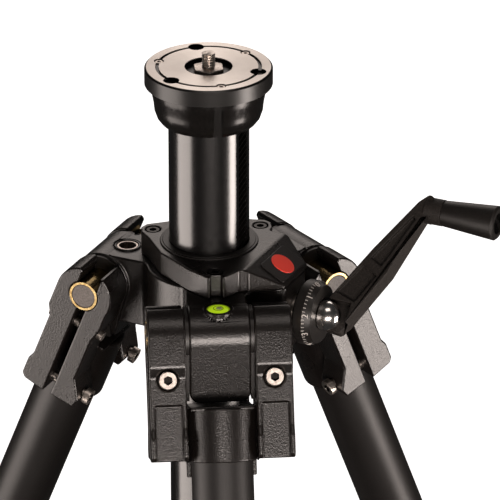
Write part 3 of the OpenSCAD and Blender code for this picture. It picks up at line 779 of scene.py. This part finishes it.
class TRIPOD_OT_legs(bpy.types.Operator):
    """Leg tubes, levers and feet"""
    bl_idname = "tripod.legs"
    bl_label = "Legs"

    def execute(self, context):
        edge = sizes().moulded_edge
        for leg in LEGS:
            for tube in ("upper", "middle", "lower"):
                coat(f"{tube}_tube_{leg}", leg_anodising())
            for lever in ("upper", "lower"):
                rounded(f"{lever}_lever_{leg}", f"{lever}_flip_lever_{leg}", edge * 1.6, moulded_nylon())
            rounded(f"foot_{leg}", f"rubber_foot_{leg}", edge, moulded_rubber())
        return {"FINISHED"}


class TRIPOD_OT_stage(bpy.types.Operator):
    """Pale floor, soft boxes and camera"""
    bl_idname = "tripod.stage"
    bl_label = "Stage"

    def execute(self, context):
        self.camera()
        self.floor()
        for name, place, width, height, power in SOFT_BOXES:
            self.soft_box(name, place, width, height, power)
        self.backdrop()
        world = bpy.data.worlds.new("studio")
        world.use_nodes = True
        world.node_tree.nodes["Background"].inputs["Color"].default_value = linear("#f4f2f0")
        world.node_tree.nodes["Background"].inputs["Strength"].default_value = 0.03
        context.scene.world = world
        context.scene.view_settings.view_transform = "Standard"
        return {"FINISHED"}

    def camera(self):
        """Camera at the set azimuth, height and distance."""
        look = sizes()
        turn, rise = look.view_angle, look.view_height
        back = Vector((sin(turn) * cos(rise), -cos(turn) * cos(rise), sin(rise)))
        bpy.ops.object.camera_add(location=Vector(VIEW_TARGET) + back * look.view_distance)
        camera = bpy.context.object
        camera.rotation_euler = (-back).to_track_quat("-Z", "Y").to_euler()
        camera.data.lens = look.view_lens
        camera.data.clip_end = VIEW_END
        bpy.context.scene.camera = camera

    def floor(self):
        """Pale floor under the feet, as wide as the wall."""
        bpy.ops.object.select_all(action="DESELECT")
        bpy.ops.mesh.primitive_plane_add(size=FLOOR_WIDTH, location=(0, 0, CAD_BOX[0].z))
        self.paper(bpy.context.object, "studio_floor")

    def backdrop(self):
        """A wide pale wall all round, far behind the lights."""
        bpy.ops.object.select_all(action="DESELECT")
        bpy.ops.mesh.primitive_cylinder_add(
            vertices=64, radius=WALL_R, depth=WALL_HEIGHT, location=(0, 0, CAD_BOX[0].z + WALL_RISE))
        self.paper(bpy.context.object, "studio_wall")

    def paper(self, piece, name):
        """White paper that doesn't throw its own light back on to the object or show in its gloss."""
        piece.name = name
        piece.visible_glossy = piece.visible_diffuse = piece.visible_shadow = False
        piece.data.materials.append(new_material("white_seamless_paper", {
            "Base Color": linear("#ffffff"), "Roughness": 0.9, "Emission Color": linear("#ffffff"),
            "Emission Strength": 1.0})[0])

    def soft_box(self, name, place, width, height, power):
        """A square lamp that faces the target, slightly warm."""
        bpy.ops.object.light_add(type="AREA", location=place)
        lamp = bpy.context.object
        lamp.name = f"soft_box_{name}"
        lamp.data.shape = "RECTANGLE"
        lamp.data.size, lamp.data.size_y = width, height
        lamp.data.energy = power
        lamp.data.color = linear("#fff2ea")[:3]
        toward = Vector(LAMP_TARGET) - Vector(place)
        lamp.rotation_euler = toward.to_track_quat("-Z", "Y").to_euler()


class TRIPOD_PT_panel(bpy.types.Panel):
    """Lists the tripod's sizes, colours and steps"""
    bl_idname = "TRIPOD_PT_panel"
    bl_label = "Tripod"
    bl_space_type = "VIEW_3D"
    bl_region_type = "UI"
    bl_category = "Tripod"

    def draw(self, context):
        for group in (context.scene.tripod_sizes, context.scene.tripod_colours):
            for name in group.__annotations__:
                self.layout.prop(group, name)
        for step in STEPS:
            self.layout.operator(step.bl_idname)


STEPS = (TRIPOD_OT_stage, TRIPOD_OT_castings, TRIPOD_OT_head, TRIPOD_OT_column, TRIPOD_OT_hinges,
         TRIPOD_OT_level, TRIPOD_OT_badge, TRIPOD_OT_crank, TRIPOD_OT_legs)
CLASSES = (TripodSizes, TripodColours, *STEPS, TRIPOD_PT_panel)


def register():
    for cls in CLASSES:
        bpy.utils.register_class(cls)
    bpy.types.Scene.tripod_sizes = bpy.props.PointerProperty(type=TripodSizes)
    bpy.types.Scene.tripod_colours = bpy.props.PointerProperty(type=TripodColours)


def unregister():
    del bpy.types.Scene.tripod_colours
    del bpy.types.Scene.tripod_sizes
    for cls in reversed(CLASSES):
        bpy.utils.unregister_class(cls)


def main():
    register()
    for step in STEPS:
        group, name = step.bl_idname.split(".")
        getattr(getattr(bpy.ops, group), name)()


if __name__ == "__main__":
    main()
